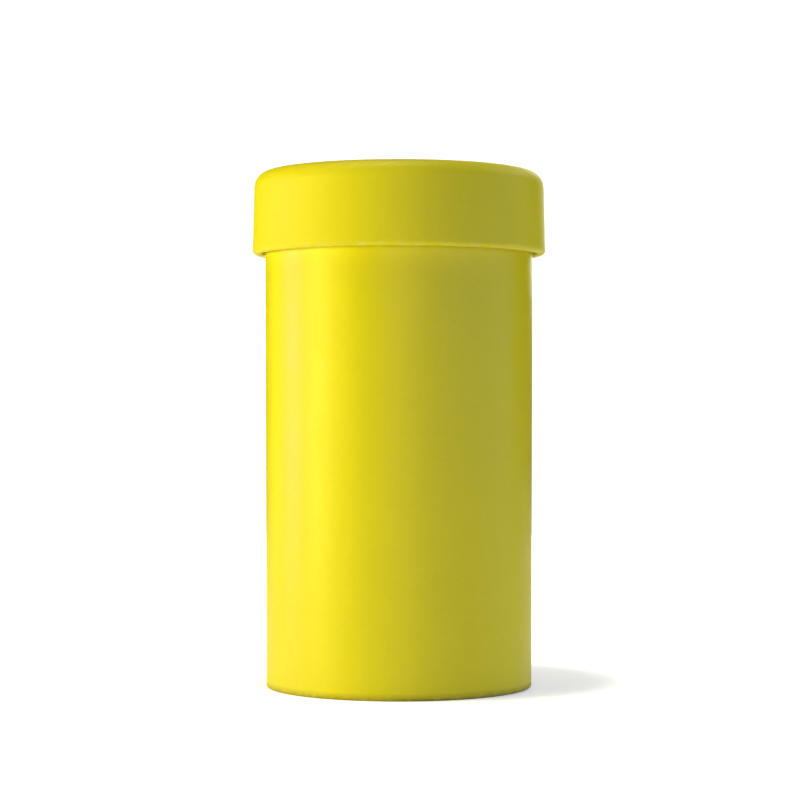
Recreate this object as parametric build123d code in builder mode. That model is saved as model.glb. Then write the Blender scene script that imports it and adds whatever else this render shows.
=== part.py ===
from build123d import *
import math
import os

# A round storage canister with an overhanging screw lid, in millimetres.
# The origin is the centre of the face it stands on, and +Z points up through the lid.

# Canister: outside
overall_height = 138.5  # with the lid closed
body_diameter = 72.0  # just under the lid
foot_draw_in = 0.3  # the wall's radius is this much smaller at the foot than under the lid
foot_edge_radius = 0.8

# Canister: underside
foot_ring_width = 3.4
foot_ring_edge_radius = 0.6
foot_recess_depth = 1.6
gate_dimple_diameter = 7.0
gate_dimple_depth = 0.6
gate_stub_diameter = 1.6
gate_stub_height = 0.35

# Canister: inside
body_wall = 2.3  # at the top of the straight wall
bore_draw_in = 0.4  # the bore's radius is this much smaller at the floor than at the mouth
floor_thickness = 2.4
floor_corner_radius = 3.0

# Neck, which the lid hides
neck_step = 0.7  # the neck's radius is this much smaller than the body's
shoulder_above_lip = 3.0
rim_edge_radius = 0.5

# Lid: outside
lid_height = 22.3
lid_draw_in = 0.55  # the lid's radius is this much smaller at the top than at the lip
top_edge_radius = 4.2
lip_outer_radius = 1.2
lip_inner_radius = 0.7

# Lid: inside
lid_top_thickness = 2.3
lip_gap = 1.1  # radial, between the body and the lid's skirt
skirt_wall = 2.35  # at the lip
skirt_corner_radius = 0.8

# Seal ring, and the keeper that centres it under the lid
seal_thickness = 1.6
seal_overlap = 0.9  # the seal reaches this far past the rim, inwards and outwards
seal_edge_radius = 0.35
keeper_gap = 0.3  # radial, between the keeper and the seal
keeper_width = 1.2
keeper_below_seal = 1.2
keeper_edge_radius = 0.4

# Thread: right-handed, several starts
thread_starts = 4
thread_lead = 16.0  # rise in one turn
thread_crest_gap = 0.45  # radial, from each crest to the wall it faces
thread_seated_gap = 0.25  # along Z, between the flanks that pull the lid down
thread_free_gap = 0.65  # along Z, between the flanks on the other side
thread_flank_angle = 20.0
thread_root_depth = 0.4  # how deep a ridge is rooted in its wall
thread_crest_radius = 0.35
thread_ramp_angle = 25.0  # at its two ends a ridge runs out to the wall on a ramp this steep
thread_below_rim = 4.6  # from the rim down to the middle of the neck ridges' upper ends
neck_ridge_arc = 100.0
lid_ridge_arc = 80.0
lid_ridge_lag = 10.0  # each lid ridge starts this many degrees after the neck ridge above it

# Heights
lip_z = overall_height - lid_height
shoulder_z = lip_z + shoulder_above_lip
ceiling_z = overall_height - lid_top_thickness
rim_z = ceiling_z - seal_thickness
keeper_z = rim_z - keeper_below_seal
floor_z = foot_recess_depth + floor_thickness

# Radii
body_radius = body_diameter / 2
foot_radius = body_radius - foot_draw_in
recess_radius = foot_radius - foot_ring_width
neck_radius = body_radius - neck_step
bore_radius = body_radius - body_wall
floor_radius = bore_radius - bore_draw_in
skirt_radius = body_radius + lip_gap
lip_radius = skirt_radius + skirt_wall
lid_top_radius = lip_radius - lid_draw_in
seal_outer_radius = neck_radius + seal_overlap
seal_inner_radius = bore_radius - seal_overlap
keeper_radius = seal_inner_radius - keeper_gap

# Thread ridges: a lid ridge lies under each neck ridge, with the seated gap above it and the free gap
# below. Where the two stand side by side, their half widths add up to the same sum at every radius.
thread_height = skirt_radius - neck_radius - thread_crest_gap
flank_slope = math.tan(math.radians(thread_flank_angle))
half_widths_sum = (thread_lead / thread_starts - thread_seated_gap - thread_free_gap) / 2
thread_base_width = half_widths_sum + flank_slope * (skirt_radius - neck_radius)
lid_ridge_drop = half_widths_sum + thread_seated_gap
neck_ridge_z = rim_z - thread_below_rim - thread_lead * neck_ridge_arc / 360
lid_ridge_z = neck_ridge_z - lid_ridge_drop + thread_lead * lid_ridge_lag / 360


def round_corner(profile, corner, radius):
    """Rounds the corner of the profile that lies nearest to the given point."""
    fillet(profile.vertices().sort_by_distance(corner)[0], radius)


def thread_ridge(wall_radius, outward, arc):
    """One thread ridge on a round wall: a rounded trapezoid swept up the helix, standing out (1) or in (-1)."""
    rise = thread_lead * arc / 360
    root = wall_radius - outward * thread_root_depth
    crest = wall_radius + outward * thread_height
    half_root = thread_base_width / 2 + flank_slope * thread_root_depth
    half_crest = thread_base_width / 2 - flank_slope * thread_height
    ramp_length = thread_height / math.sin(math.radians(thread_ramp_angle))
    with BuildPart() as ridge:
        with BuildLine() as path:
            Helix(pitch=thread_lead, height=rise, radius=wall_radius)
        with BuildSketch(Plane.XZ) as profile:
            Polygon(
                (root, -half_root),
                (crest, -half_crest),
                (crest, half_crest),
                (root, half_root),
                align=None,
            )
            round_corner(profile, (crest, -half_crest), thread_crest_radius)
            round_corner(profile, (crest, half_crest), thread_crest_radius)
        sweep(path=path.wires()[0], is_frenet=True)
        # Each ramp is a cut by a block whose face leans from the wall, at the ridge's end, up to the crest.
        for angle, height, inward in ((0, 0, 1), (arc, rise, -1)):
            end_frame = Plane((0, 0, height)).rotated((0, 0, angle)).location
            lean = Location((wall_radius, 0, 0), (0, 0, inward * outward * -thread_ramp_angle))
            side = Align.MIN if outward > 0 else Align.MAX
            with Locations(end_frame * lean):
                Box(
                    2 * ramp_length,
                    3 * ramp_length,
                    2 * thread_lead / thread_starts,
                    align=(side, Align.CENTER, Align.CENTER),
                    mode=Mode.SUBTRACT,
                )
    return ridge.part


def thread_ring(ridge, first_angle, start_z):
    """A ridge for each start, evenly spaced around the axis."""
    step = 360 / thread_starts
    return [Pos(0, 0, start_z) * Rot(0, 0, first_angle + step * n) * ridge for n in range(thread_starts)]


neck_ridges = thread_ring(thread_ridge(neck_radius, 1, neck_ridge_arc), 0, neck_ridge_z)
lid_ridges = thread_ring(thread_ridge(skirt_radius, -1, lid_ridge_arc), lid_ridge_lag, lid_ridge_z)

os.makedirs("parts", exist_ok=True)

# Canister body: wall, floor on its foot ring, shoulder and threaded neck
with BuildPart() as canister_body:
    with BuildSketch(Plane.XZ) as body_profile:
        Polygon(
            (0, foot_recess_depth),
            (recess_radius, foot_recess_depth),
            (recess_radius, 0),
            (foot_radius, 0),
            (body_radius, shoulder_z - neck_step),
            (neck_radius, shoulder_z),
            (neck_radius, rim_z),
            (bore_radius, rim_z),
            (floor_radius, floor_z),
            (0, floor_z),
            align=None,
        )
        round_corner(body_profile, (foot_radius, 0), foot_edge_radius)
        round_corner(body_profile, (recess_radius, 0), foot_ring_edge_radius)
        round_corner(body_profile, (recess_radius, foot_recess_depth), foot_ring_edge_radius)
        round_corner(body_profile, (floor_radius, floor_z), floor_corner_radius)
        round_corner(body_profile, (neck_radius, rim_z), rim_edge_radius)
        round_corner(body_profile, (bore_radius, rim_z), rim_edge_radius)
    revolve(axis=Axis.Z)
    add(neck_ridges)
    # The mark that the moulding gate leaves: a stub in a shallow dimple, clear of the ground
    with BuildSketch(Plane.XY.offset(foot_recess_depth)):
        Circle(gate_dimple_diameter / 2)
    extrude(amount=gate_dimple_depth, mode=Mode.SUBTRACT)
    with BuildSketch(Plane.XY.offset(foot_recess_depth + gate_dimple_depth)):
        Circle(gate_stub_diameter / 2)
    extrude(amount=-gate_stub_height)
canister_body.part.label = "canister_body"
export_step(canister_body.part, "parts/canister_body.step")

# Lid: flat top with a round edge, flared skirt with a round lip, keeper and inner thread
with BuildPart() as lid:
    with BuildSketch(Plane.XZ) as lid_profile:
        Polygon(
            (0, ceiling_z),
            (keeper_radius - keeper_width, ceiling_z),
            (keeper_radius - keeper_width, keeper_z),
            (keeper_radius, keeper_z),
            (keeper_radius, ceiling_z),
            (skirt_radius, ceiling_z),
            (skirt_radius, lip_z),
            (lip_radius, lip_z),
            (lid_top_radius, overall_height),
            (0, overall_height),
            align=None,
        )
        round_corner(lid_profile, (keeper_radius - keeper_width, keeper_z), keeper_edge_radius)
        round_corner(lid_profile, (keeper_radius, keeper_z), keeper_edge_radius)
        round_corner(lid_profile, (skirt_radius, ceiling_z), skirt_corner_radius)
        round_corner(lid_profile, (skirt_radius, lip_z), lip_inner_radius)
        round_corner(lid_profile, (lip_radius, lip_z), lip_outer_radius)
        round_corner(lid_profile, (lid_top_radius, overall_height), top_edge_radius)
    revolve(axis=Axis.Z)
    add(lid_ridges)
lid.part.label = "lid"
export_step(lid.part, "parts/lid.step")

# Seal ring: lies on the rim, under the lid
with BuildPart() as seal_ring:
    with BuildSketch(Plane.XZ) as seal_profile:
        Polygon(
            (seal_inner_radius, rim_z),
            (seal_outer_radius, rim_z),
            (seal_outer_radius, ceiling_z),
            (seal_inner_radius, ceiling_z),
            align=None,
        )
        fillet(seal_profile.vertices(), seal_edge_radius)
    revolve(axis=Axis.Z)
seal_ring.part.label = "seal_ring"
export_step(seal_ring.part, "parts/seal_ring.step")
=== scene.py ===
import bpy
import math
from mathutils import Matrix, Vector


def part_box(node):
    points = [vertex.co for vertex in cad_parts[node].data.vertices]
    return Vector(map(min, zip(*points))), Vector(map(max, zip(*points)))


# The yellow storage canister, closed by its screw lid, in a white studio. Lengths are in metres, except the
# camera's lens and sensor, which Blender takes in millimetres.

MM = 0.001

# Camera: level, in front of the canister
EYE = Vector((0, -635 * MM, 73.4 * MM))
LENS = 105.8
SENSOR = 36.0
SHIFT = (0.00125, 0.0175)

# Plastic
YELLOW = (0.88, 0.80, 0.006)
PALER_YELLOW = (0.90, 0.83, 0.018)
DEEPER_YELLOW = (0.84, 0.75, 0.003)
SCUFFED_YELLOW = (0.88, 0.83, 0.18)
# Dark yellow of the painted shade at the canister's foot
PAINTED_FOOT_SHADE_YELLOW = (0.36, 0.32, 0.02)
BODY_ROUGHNESS = 0.36
LID_ROUGHNESS = 0.52
BARE_ROUGHNESS = 0.28  # where the mould has no grain: neck, bore, recess and the lid's inside
SCUFF_TOP = 1.6 * MM  # scuffs reach this far up from the foot and from the lid's lip
PAINTED_FOOT_SHADE_TOP = 2.3 * MM  # and painted shade darkens the plastic this far up from the foot

# Where bare faces give way to grained ones: on the shoulder, and within the thickness of the walls
BARE_BLEND = 0.4 * MM
NECK_ABOVE_LIP = 2.6 * MM
BODY_WALL_RADIUS = 34.4 * MM
LID_TOP_ABOVE_RIM = 2.0 * MM
LID_SKIRT_RADIUS = 37.3 * MM

# Seal, with the track that the rim presses into it
SEAL_WHITE = (0.80, 0.79, 0.75)
SEAL_PRESSED = (0.64, 0.63, 0.58)
TRACK_INNER = 33.6 * MM
TRACK_OUTER = 35.4 * MM
TRACK_BLEND = 0.3 * MM

# Floor: it gives off a little light, a painted glow that lights the canister from below, with none next to
# the foot, which paints shade on the foot. The camera sees another glow, which paints a grey shadow to the
# right of and behind the canister and is white away from it.
FLOOR_SIZE = 1.6
FLOOR_ALBEDO = 0.92
GLOW = 0.12
GLOW_START = 37 * MM
GLOW_FULL = 44 * MM
# Painted shadow: the camera's glow is grey round this centre and white beyond the outer radius
SEEN_IN_PAINTED_SHADOW = (0.31, 0.325, 0.45)
SEEN_AWAY = (1.0, 1.0, 1.0)
PAINTED_SHADOW_CENTRE = (12 * MM, 14 * MM, 0)  # the painted shadow lies to the right and back, away from the key lights
PAINTED_SHADOW_INNER = 40 * MM
PAINTED_SHADOW_OUTER = 64 * MM
BACKDROP = 1.2  # as bright as the floor's far side, so that no line shows where the floor ends

# Softboxes: they stand round the target, all at the same distance from it
TARGET = Vector((0, 0, 70 * MM))
LIGHT_DISTANCE = 0.9
# name: azimuth and elevation in degrees, width and height in metres, power in watts, colour
SOFTBOXES = {
    "key_front": (-50, 3, 0.3, 0.32, 1.55, (1.00, 0.98, 0.02)),
    "key_side": (-72, 3, 0.25, 0.32, 4.55, (1.00, 0.83, 0.14)),
    "strip": (-101, 2, 0.22, 0.32, 1.00, (0.57, 0.63, 1.00)),
    "rim": (-128, 5, 0.25, 0.32, 0.64, (0.97, 1.00, 0.02)),
    "top": (-60, 78, 0.5, 0.5, 2.35, (1.00, 0.96, 0.55)),
    "overhead": (0, 89, 0.3, 0.3, 1.0, (1.00, 1.00, 0.80)),
    "front": (5, 10, 0.65, 0.3, 0.58, (0.55, 0.60, 1.00)),
    "right_front": (50, 10, 0.65, 0.3, 0.76, (0.55, 0.60, 1.00)),
    "right": (90, 8, 0.6, 0.5, 0.82, (0.62, 0.67, 1.00)),
    "back_right": (120, 38, 0.3, 0.4, 1.16, (1.00, 0.95, 0.86)),
    "back": (167, 18, 0.4, 0.4, 2.4, (1.00, 1.00, 0.85)),
}

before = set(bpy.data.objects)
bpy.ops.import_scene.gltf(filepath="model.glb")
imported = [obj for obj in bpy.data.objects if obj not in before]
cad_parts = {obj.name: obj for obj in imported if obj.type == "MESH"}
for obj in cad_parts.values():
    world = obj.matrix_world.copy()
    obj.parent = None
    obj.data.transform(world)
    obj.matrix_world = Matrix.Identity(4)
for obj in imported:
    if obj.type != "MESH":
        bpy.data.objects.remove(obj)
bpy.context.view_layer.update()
rim_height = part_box("canister_body")[1].z
lip_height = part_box("lid")[0].z


class Look:
    """A procedural material: a Principled shader and the nodes that feed it, in the piece's coordinates."""

    def __init__(self, name, roughness):
        self.material = bpy.data.materials.new(name)
        self.material.use_nodes = True
        self.nodes = self.material.node_tree.nodes
        self.shader = self.nodes["Principled BSDF"]
        self.shader.inputs["Roughness"].default_value = roughness
        self.place = self.nodes.new("ShaderNodeTexCoord").outputs["Object"]

    def feed(self, socket, value):
        """Gives a socket a constant, or links it to another node's output."""
        if isinstance(value, bpy.types.NodeSocket):
            self.material.node_tree.links.new(value, socket)
        else:
            socket.default_value = value

    def math(self, operation, first, second=0.0):
        node = self.nodes.new("ShaderNodeMath")
        node.operation = operation
        self.feed(node.inputs[0], first)
        self.feed(node.inputs[1], second)
        return node.outputs[0]

    def height(self):
        """Distance above the face that the canister stands on."""
        node = self.nodes.new("ShaderNodeSeparateXYZ")
        self.feed(node.inputs[0], self.place)
        return node.outputs["Z"]

    def radius(self, centre=(0, 0, 0)):
        """Distance from the canister's axis, or from a vertical line through this centre."""
        moved = self.nodes.new("ShaderNodeVectorMath")
        moved.operation = "SUBTRACT"
        self.feed(moved.inputs[0], self.place)
        self.feed(moved.inputs[1], centre)
        flat = self.nodes.new("ShaderNodeVectorMath")
        flat.operation = "MULTIPLY"
        self.feed(flat.inputs[0], moved.outputs[0])
        self.feed(flat.inputs[1], (1, 1, 0))
        length = self.nodes.new("ShaderNodeVectorMath")
        length.operation = "LENGTH"
        self.feed(length.inputs[0], flat.outputs[0])
        return length.outputs["Value"]

    def noise(self, size, seed, detail=2.0, stretch=(1, 1, 1)):
        """Noise from 0 to 1 with features of this size, which stretch makes longer along each axis."""
        scaled = self.nodes.new("ShaderNodeVectorMath")
        scaled.operation = "DIVIDE"
        self.feed(scaled.inputs[0], self.place)
        self.feed(scaled.inputs[1], tuple(size * s for s in stretch))
        node = self.nodes.new("ShaderNodeTexNoise")
        node.noise_dimensions = "4D"
        self.feed(node.inputs["Vector"], scaled.outputs[0])
        node.inputs["W"].default_value = seed
        node.inputs["Scale"].default_value = 1.0
        node.inputs["Detail"].default_value = detail
        return node.outputs["Fac"]

    def ramp(self, value, start, end, low=0.0, high=1.0):
        """Goes smoothly from low to high while the value goes from start to end."""
        node = self.nodes.new("ShaderNodeMapRange")
        node.interpolation_type = "SMOOTHSTEP"
        ends = {"Value": value, "From Min": start, "From Max": end, "To Min": low, "To Max": high}
        for name, number in ends.items():
            self.feed(node.inputs[name], number)
        return node.outputs["Result"]

    def mix(self, share, first, second):
        """The first colour, with this share of the second."""
        node = self.nodes.new("ShaderNodeMix")
        node.data_type = "RGBA"
        self.feed(node.inputs[0], share)
        for socket, colour in ((node.inputs[6], first), (node.inputs[7], second)):
            self.feed(socket, (*colour, 1.0) if isinstance(colour, tuple) else colour)
        return node.outputs[2]

    def relief(self, layers):
        """Bump from (height from 0 to 1, depth) pairs, the deepest layer first."""
        normal = None
        for height, depth in layers:
            node = self.nodes.new("ShaderNodeBump")
            node.inputs["Distance"].default_value = depth
            self.feed(node.inputs["Height"], height)
            if normal is not None:
                self.feed(node.inputs["Normal"], normal)
            normal = node.outputs["Normal"]
        self.feed(self.shader.inputs["Normal"], normal)


def moulded(look, roughness, seed, edge_height, bare, painted_foot_shade=0.0):
    """Yellow plastic with fine grain, peel, faint waves, uneven pigment and a scuffed lower edge."""
    cloud = look.noise(24 * MM, seed, 3.0)
    fleck = look.noise(0.9 * MM, seed + 1, 3.0)
    smudge = look.noise(15 * MM, seed + 2, 4.0)
    streak = look.noise(1.2 * MM, seed + 3, 3.0, (18, 18, 1))
    grain = look.noise(0.34 * MM, seed + 4, 2.0)
    peel = look.noise(2.2 * MM, seed + 5, 2.0)
    wave = look.noise(30 * MM, seed + 6, 1.0)

    near_edge = look.ramp(look.height(), edge_height + 0.2 * MM, edge_height + SCUFF_TOP, 1.0, 0.0)
    patchy = look.ramp(look.noise(3.0 * MM, seed + 7, 4.0), 0.46, 0.64)
    scuff = look.math("MULTIPLY", near_edge, patchy)

    colour = look.mix(look.ramp(cloud, 0.3, 0.7, 0.0, 0.45), YELLOW, DEEPER_YELLOW)
    colour = look.mix(look.ramp(fleck, 0.35, 0.75, 0.0, 0.5), colour, PALER_YELLOW)
    colour = look.mix(look.math("MULTIPLY", scuff, 0.7), colour, SCUFFED_YELLOW)
    # Painted shade at the foot, mixed in by the mask given for it
    colour = look.mix(painted_foot_shade, colour, PAINTED_FOOT_SHADE_YELLOW)
    look.feed(look.shader.inputs["Base Color"], colour)

    uneven = look.ramp(bare, 0.0, 1.0, roughness, BARE_ROUGHNESS)
    uneven = look.math("ADD", uneven, look.ramp(smudge, 0.3, 0.7, -0.03, 0.03))
    uneven = look.math("ADD", uneven, look.ramp(streak, 0.55, 0.75, 0.0, 0.04))
    uneven = look.math("ADD", uneven, look.math("MULTIPLY", scuff, 0.15))
    look.feed(look.shader.inputs["Roughness"], uneven)

    grain = look.math("MULTIPLY", grain, look.math("SUBTRACT", 1.0, bare))
    look.relief([(wave, 0.03 * MM), (peel, 0.014 * MM), (grain, 0.012 * MM)])


def canister_plastic():
    """The canister's plastic, darkened at the foot by painted shade. Its neck, bore and recess have no
    grain.
    """
    look = Look("canister_plastic", BODY_ROUGHNESS)
    neck_height = lip_height + NECK_ABOVE_LIP
    neck = look.ramp(look.height(), neck_height, neck_height + BARE_BLEND)
    inside = look.ramp(look.radius(), BODY_WALL_RADIUS, BODY_WALL_RADIUS + BARE_BLEND, 1.0, 0.0)
    bare = look.math("MAXIMUM", neck, inside)
    # Painted shade: darker towards the bottom over the lowest few millimetres, unevenly
    speckle = look.ramp(look.noise(1.4 * MM, 20.0, 4.0), 0.3, 0.6, 0.65, 1.0)
    painted_foot_shade = look.math("MULTIPLY", look.ramp(look.height(), 0.3 * MM, PAINTED_FOOT_SHADE_TOP, 0.7, 0.0), speckle)
    moulded(look, BODY_ROUGHNESS, seed=10.0, edge_height=0.0, bare=bare, painted_foot_shade=painted_foot_shade)
    return look.material


def lid_plastic():
    """The lid's plastic, duller than the canister's, with no grain on the inside."""
    look = Look("lid_plastic", LID_ROUGHNESS)
    top_height = rim_height + LID_TOP_ABOVE_RIM
    below = look.ramp(look.height(), top_height, top_height + BARE_BLEND, 1.0, 0.0)
    within = look.ramp(look.radius(), LID_SKIRT_RADIUS, LID_SKIRT_RADIUS + BARE_BLEND, 1.0, 0.0)
    bare = look.math("MULTIPLY", below, within)
    moulded(look, LID_ROUGHNESS, seed=40.0, edge_height=lip_height, bare=bare)
    return look.material


def seal_rubber():
    """Milky white rubber with fine pores, pressed smooth and darker where the rim bears on it."""
    look = Look("seal_rubber", 0.7)
    pores = look.noise(0.5 * MM, 70.0, 3.0)
    cloud = look.noise(6 * MM, 71.0, 3.0)
    from_axis = look.radius()
    past_inner = look.ramp(from_axis, TRACK_INNER, TRACK_INNER + TRACK_BLEND)
    short_of_outer = look.ramp(from_axis, TRACK_OUTER - TRACK_BLEND, TRACK_OUTER, 1.0, 0.0)
    track = look.math("MULTIPLY", past_inner, short_of_outer)
    stain = look.math("MULTIPLY", track, look.ramp(cloud, 0.3, 0.7, 0.5, 1.0))
    look.feed(look.shader.inputs["Base Color"], look.mix(stain, SEAL_WHITE, SEAL_PRESSED))
    look.feed(look.shader.inputs["Roughness"], look.ramp(track, 0.0, 1.0, 0.72, 0.5))
    look.shader.inputs["Subsurface Weight"].default_value = 0.3
    look.shader.inputs["Subsurface Radius"].default_value = (1.0, 0.9, 0.8)
    look.shader.inputs["Subsurface Scale"].default_value = 1.0 * MM
    look.relief([(pores, 0.012 * MM)])
    return look.material


def floor_paper():
    """White table top with a faint tooth. One glow, painted light with none next to the foot, lights the
    canister, and the camera sees another, which paints a grey shadow beside it.
    """
    look = Look("floor", 1.0)
    fibre = look.noise(0.8 * MM, 90.0, 3.0)
    look.shader.inputs["Base Color"].default_value = (FLOOR_ALBEDO, FLOOR_ALBEDO, FLOOR_ALBEDO, 1)
    # Painted light and shade: the floor glows for every ray but the camera's, with no glow next to the foot
    cast = look.ramp(look.radius(), GLOW_START, GLOW_FULL, 0.0, GLOW)
    cast_colour = look.mix(cast, (0.0, 0.0, 0.0), (1.0, 1.0, 1.0))
    # Painted shadow: the camera sees grey round a point right of and behind the canister
    away = look.ramp(look.radius(PAINTED_SHADOW_CENTRE), PAINTED_SHADOW_INNER, PAINTED_SHADOW_OUTER)
    seen_colour = look.mix(away, SEEN_IN_PAINTED_SHADOW, SEEN_AWAY)
    straight = look.nodes.new("ShaderNodeLightPath").outputs["Is Camera Ray"]
    look.feed(look.shader.inputs["Emission Color"], look.mix(straight, cast_colour, seen_colour))
    look.shader.inputs["Emission Strength"].default_value = 1.0
    look.relief([(fibre, 0.01 * MM)])
    return look.material


def dress(node, material):
    """Gives a CAD node its material."""
    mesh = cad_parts[node].data
    mesh.materials.clear()
    mesh.materials.append(material)


def make_floor():
    bpy.ops.mesh.primitive_plane_add(size=FLOOR_SIZE)
    floor = bpy.context.object
    floor.name = "floor"
    floor.data.materials.append(floor_paper())


def make_world():
    """White behind the floor; all the light comes from the softboxes and the floor."""
    world = bpy.data.worlds.new("studio")
    world.use_nodes = True
    background = world.node_tree.nodes["Background"]
    background.inputs["Color"].default_value = (BACKDROP, BACKDROP, BACKDROP, 1)
    seen = world.node_tree.nodes.new("ShaderNodeLightPath").outputs["Is Camera Ray"]
    world.node_tree.links.new(seen, background.inputs["Strength"])
    bpy.context.scene.world = world


def make_softbox(name, azimuth, elevation, width, height, power, colour):
    data = bpy.data.lights.new(name, "AREA")
    data.shape = "RECTANGLE"
    data.size = width
    data.size_y = height
    data.energy = power
    data.color = colour
    around, up = math.radians(azimuth), math.radians(elevation)
    outward = Vector((math.sin(around) * math.cos(up), -math.cos(around) * math.cos(up), math.sin(up)))
    light = bpy.data.objects.new(name, data)
    light.location = TARGET + LIGHT_DISTANCE * outward
    light.rotation_euler = (-outward).to_track_quat("-Z", "Y").to_euler()
    bpy.context.scene.collection.objects.link(light)


def make_camera():
    data = bpy.data.cameras.new("camera")
    data.lens = LENS
    data.sensor_width = SENSOR
    data.shift_x, data.shift_y = SHIFT
    camera = bpy.data.objects.new("camera", data)
    camera.location = EYE
    camera.rotation_euler = (math.pi / 2, 0, 0)
    bpy.context.scene.collection.objects.link(camera)
    bpy.context.scene.camera = camera


dress("canister_body", canister_plastic())
dress("lid", lid_plastic())
dress("seal_ring", seal_rubber())
make_floor()
make_world()
for softbox, spec in SOFTBOXES.items():
    make_softbox(softbox, *spec)
make_camera()
bpy.context.scene.view_settings.view_transform = "Standard"
